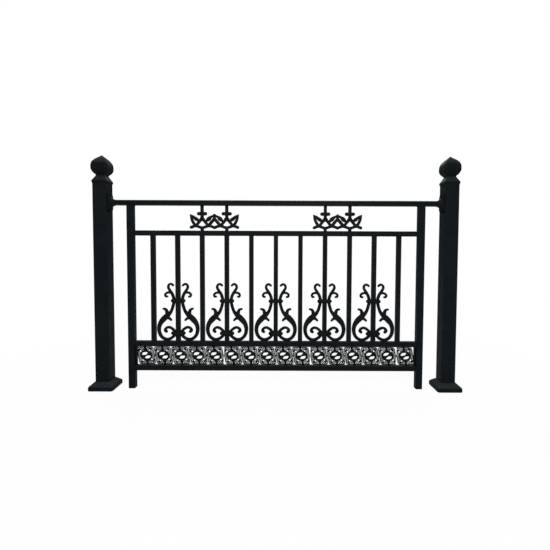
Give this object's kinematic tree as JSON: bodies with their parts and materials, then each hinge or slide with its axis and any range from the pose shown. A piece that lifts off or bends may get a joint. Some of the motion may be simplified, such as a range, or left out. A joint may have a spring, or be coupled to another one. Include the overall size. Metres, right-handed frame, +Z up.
{
  "type": "wrought iron railing",
  "caption": "Black iron railing bay with capped square posts on cast feet, a handrail, square balusters, mirrored scroll castings, crown ornaments and a pierced frieze.",
  "frame": {"origin": "centre of the underside of the left post's foot, at ground level", "axes": "+X along the railing from the left post to the right post, -Y towards the front of the railing, +Z up"},
  "size_m": [2.15, 0.144, 1.355],
  "materials": {
    "painted_tube": "satin black paint over square steel tube",
    "painted_casting": "satin black paint over sand-cast iron, faintly grained",
    "plug_plastic": "matt black moulded end plug"
  },
  "bodies": {
    "root": {"baluster_1": "painted_tube", "baluster_10": "painted_tube", "baluster_11": "painted_tube", "baluster_2": "painted_tube", "baluster_3": "painted_tube", "baluster_4": "painted_tube", "baluster_5": "painted_tube", "baluster_6": "painted_tube", "baluster_7": "painted_tube", "baluster_8": "painted_tube", "baluster_9": "painted_tube", "bottom_rail": "painted_tube", "frieze_1": "painted_casting", "frieze_2": "painted_casting", "frieze_3": "painted_casting", "frieze_4": "painted_casting", "handrail": "painted_tube", "left_crown": "painted_casting", "left_post": "painted_tube", "left_post_cap": "painted_casting", "left_post_foot": "painted_casting", "left_rail_bracket": "painted_casting", "left_stile": "painted_tube", "left_stile_foot": "plug_plastic", "lower_rail": "painted_tube", "right_crown": "painted_casting", "right_post": "painted_tube", "right_post_cap": "painted_casting", "right_post_foot": "painted_casting", "right_rail_bracket": "painted_casting", "right_stile": "painted_tube", "right_stile_foot": "plug_plastic", "scroll_1": "painted_casting", "scroll_2": "painted_casting", "scroll_3": "painted_casting", "scroll_4": "painted_casting", "scroll_5": "painted_casting", "upper_rail": "painted_tube"}
  },
  "joints": []
}
